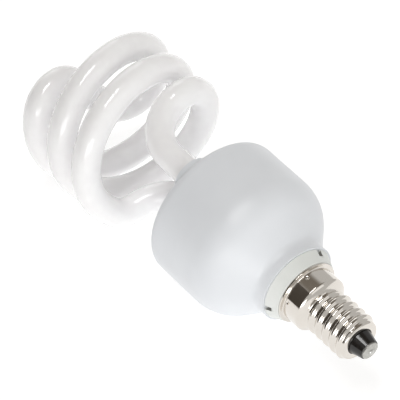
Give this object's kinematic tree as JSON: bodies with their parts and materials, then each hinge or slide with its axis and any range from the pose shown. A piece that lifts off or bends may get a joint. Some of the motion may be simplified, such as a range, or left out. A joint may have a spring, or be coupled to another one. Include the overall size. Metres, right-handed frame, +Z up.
{
  "type": "energy saving bulb",
  "caption": "Spiral compact fluorescent lamp: a double helix glass tube on a white ballast barrel with a small screw cap.",
  "frame": {"origin": "on the surface the lamp lies on, under the middle of its bounding box", "axes": "+Z up; the lamp lies on its side with its axis in the XZ plane, the cap towards +X and 3.5 degrees lower than the coil"},
  "size_m": [0.1273, 0.0502, 0.0509],
  "materials": {
    "phosphor_coated_glass": "clear glass, coated white inside, glossy outside",
    "white_pbt": "satin moulded white polyester",
    "white_cement": "cured silicone cement",
    "nickel_plated_brass": "bright nickel plate on rolled brass",
    "black_cap_glass": "moulded black cap glass",
    "tinned_brass": "tinned, slightly dull",
    "solder": "bright solder",
    "board_laminate": "paper laminate board",
    "capacitor_sleeve": "shrunk sleeve",
    "ferrite": "sintered ferrite, dark grey and matt",
    "black_nylon": "moulded nylon",
    "enamelled_copper": "enamelled wire",
    "moulded_epoxy": "moulded epoxy",
    "dipped_epoxy": "dipped epoxy",
    "resistor_lacquer": "lacquered",
    "tinned_wire": "tinned copper",
    "wire_insulation": "extruded insulation"
  },
  "bodies": {
    "root": {"discharge_tube": "phosphor_coated_glass", "top_cover": "white_pbt", "ballast_housing": "white_pbt", "tube_cement": "white_cement", "cap_collar": "white_pbt", "screw_shell": "nickel_plated_brass", "insulator": "black_cap_glass", "centre_contact": "tinned_brass", "centre_solder": "solder", "circuit_board": "board_laminate", "electrolytic_capacitor": "capacitor_sleeve", "choke_core": "ferrite", "choke_bobbin": "black_nylon", "choke_winding": "enamelled_copper", "drive_toroid": "ferrite", "transistors": "moulded_epoxy", "film_capacitor": "dipped_epoxy", "filter_inductor": "ferrite", "filter_winding": "enamelled_copper", "fuse_resistor": "resistor_lacquer", "starting_capacitor": "dipped_epoxy", "rectifier_diodes": "moulded_epoxy", "resistors": "resistor_lacquer", "wrap_pins": "tinned_wire", "electrode_leads": "tinned_wire", "contact_lead": "wire_insulation", "shell_lead": "wire_insulation"}
  },
  "joints": []
}
